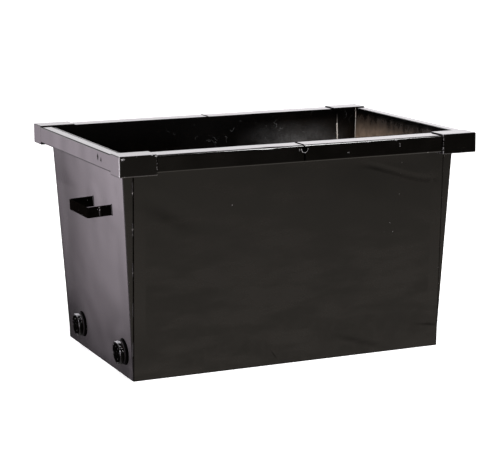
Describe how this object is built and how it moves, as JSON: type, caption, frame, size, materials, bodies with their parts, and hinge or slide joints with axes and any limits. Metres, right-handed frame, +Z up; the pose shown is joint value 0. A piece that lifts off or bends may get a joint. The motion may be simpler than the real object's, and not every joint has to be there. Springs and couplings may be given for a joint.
{
  "type": "livestock water trough",
  "caption": "Tapered welded sheet steel water tank with a box rim, capped corners, strap handles and low screw-capped drains, for cattle and sheep.",
  "frame": {"origin": "on the floor, at the middle of the trough's bounding box", "axes": "+X along the trough towards the end with no drains, +Y across it towards the back, +Z up"},
  "size_m": [1.2726, 0.85, 0.714],
  "materials": {
    "panel_enamel": "gloss black enamel, faintly wavy, with dried water marks inside",
    "base_enamel": "black enamel under dried mud",
    "rim_enamel": "gloss black enamel, scuffed along its edges",
    "corner_cap_enamel": "gloss black enamel, scuffed along its edges",
    "handle_enamel": "satin black enamel with bare specks",
    "socket_enamel": "satin black enamel",
    "drain_cap_enamel": "satin black enamel, rubbed on its ribs",
    "gasket_rubber": "matt",
    "weld_enamel": "rippled weld bead under thin black enamel"
  },
  "bodies": {
    "tank": {"front_panel": "panel_enamel", "back_panel": "panel_enamel", "left_end_panel": "panel_enamel", "right_end_panel": "panel_enamel", "base_panel": "base_enamel", "front_rim_left": "rim_enamel", "front_rim_right": "rim_enamel", "back_rim_left": "rim_enamel", "back_rim_right": "rim_enamel", "left_end_rim": "rim_enamel", "right_end_rim": "rim_enamel", "front_left_corner_cap": "corner_cap_enamel", "front_right_corner_cap": "corner_cap_enamel", "back_left_corner_cap": "corner_cap_enamel", "back_right_corner_cap": "corner_cap_enamel", "left_handle_strap": "handle_enamel", "left_handle_lugs": "handle_enamel", "right_handle_strap": "handle_enamel", "right_handle_lugs": "handle_enamel", "front_drain_socket": "socket_enamel", "back_drain_socket": "socket_enamel", "front_left_corner_weld": "weld_enamel", "front_right_corner_weld": "weld_enamel", "back_left_corner_weld": "weld_enamel", "back_right_corner_weld": "weld_enamel", "base_weld": "weld_enamel", "rim_welds": "weld_enamel", "left_handle_welds": "weld_enamel", "right_handle_welds": "weld_enamel", "drain_socket_welds": "weld_enamel"},
    "front_gasket": {"front_cap_gasket": "gasket_rubber"},
    "front_cap": {"front_drain_cap": "drain_cap_enamel"},
    "back_gasket": {"back_cap_gasket": "gasket_rubber"},
    "back_cap": {"back_drain_cap": "drain_cap_enamel"}
  },
  "joints": [
    {"name": "front_cap_travel", "type": "slide", "parent": "tank", "child": "front_gasket", "axis": [-0.9987, 0, -0.0518], "range_m": [0, 0.0093]},
    {"name": "front_cap_turn", "type": "hinge", "parent": "front_gasket", "child": "front_cap", "pos_m": [-0.53264, -0.245, 0.07989], "axis": [-0.9987, 0, -0.0518], "range_deg": [0, 1440]},
    {"name": "back_cap_travel", "type": "slide", "parent": "tank", "child": "back_gasket", "axis": [-0.9987, 0, -0.0518], "range_m": [0, 0.0093]},
    {"name": "back_cap_turn", "type": "hinge", "parent": "back_gasket", "child": "back_cap", "pos_m": [-0.53264, 0.153, 0.07989], "axis": [-0.9987, 0, -0.0518], "range_deg": [0, 1440]}
  ],
  "couplings": [
    {"joint": "front_cap_travel", "follows": "front_cap_turn", "m_per_rad": 0.0003675},
    {"joint": "back_cap_travel", "follows": "back_cap_turn", "m_per_rad": 0.0003675}
  ]
}
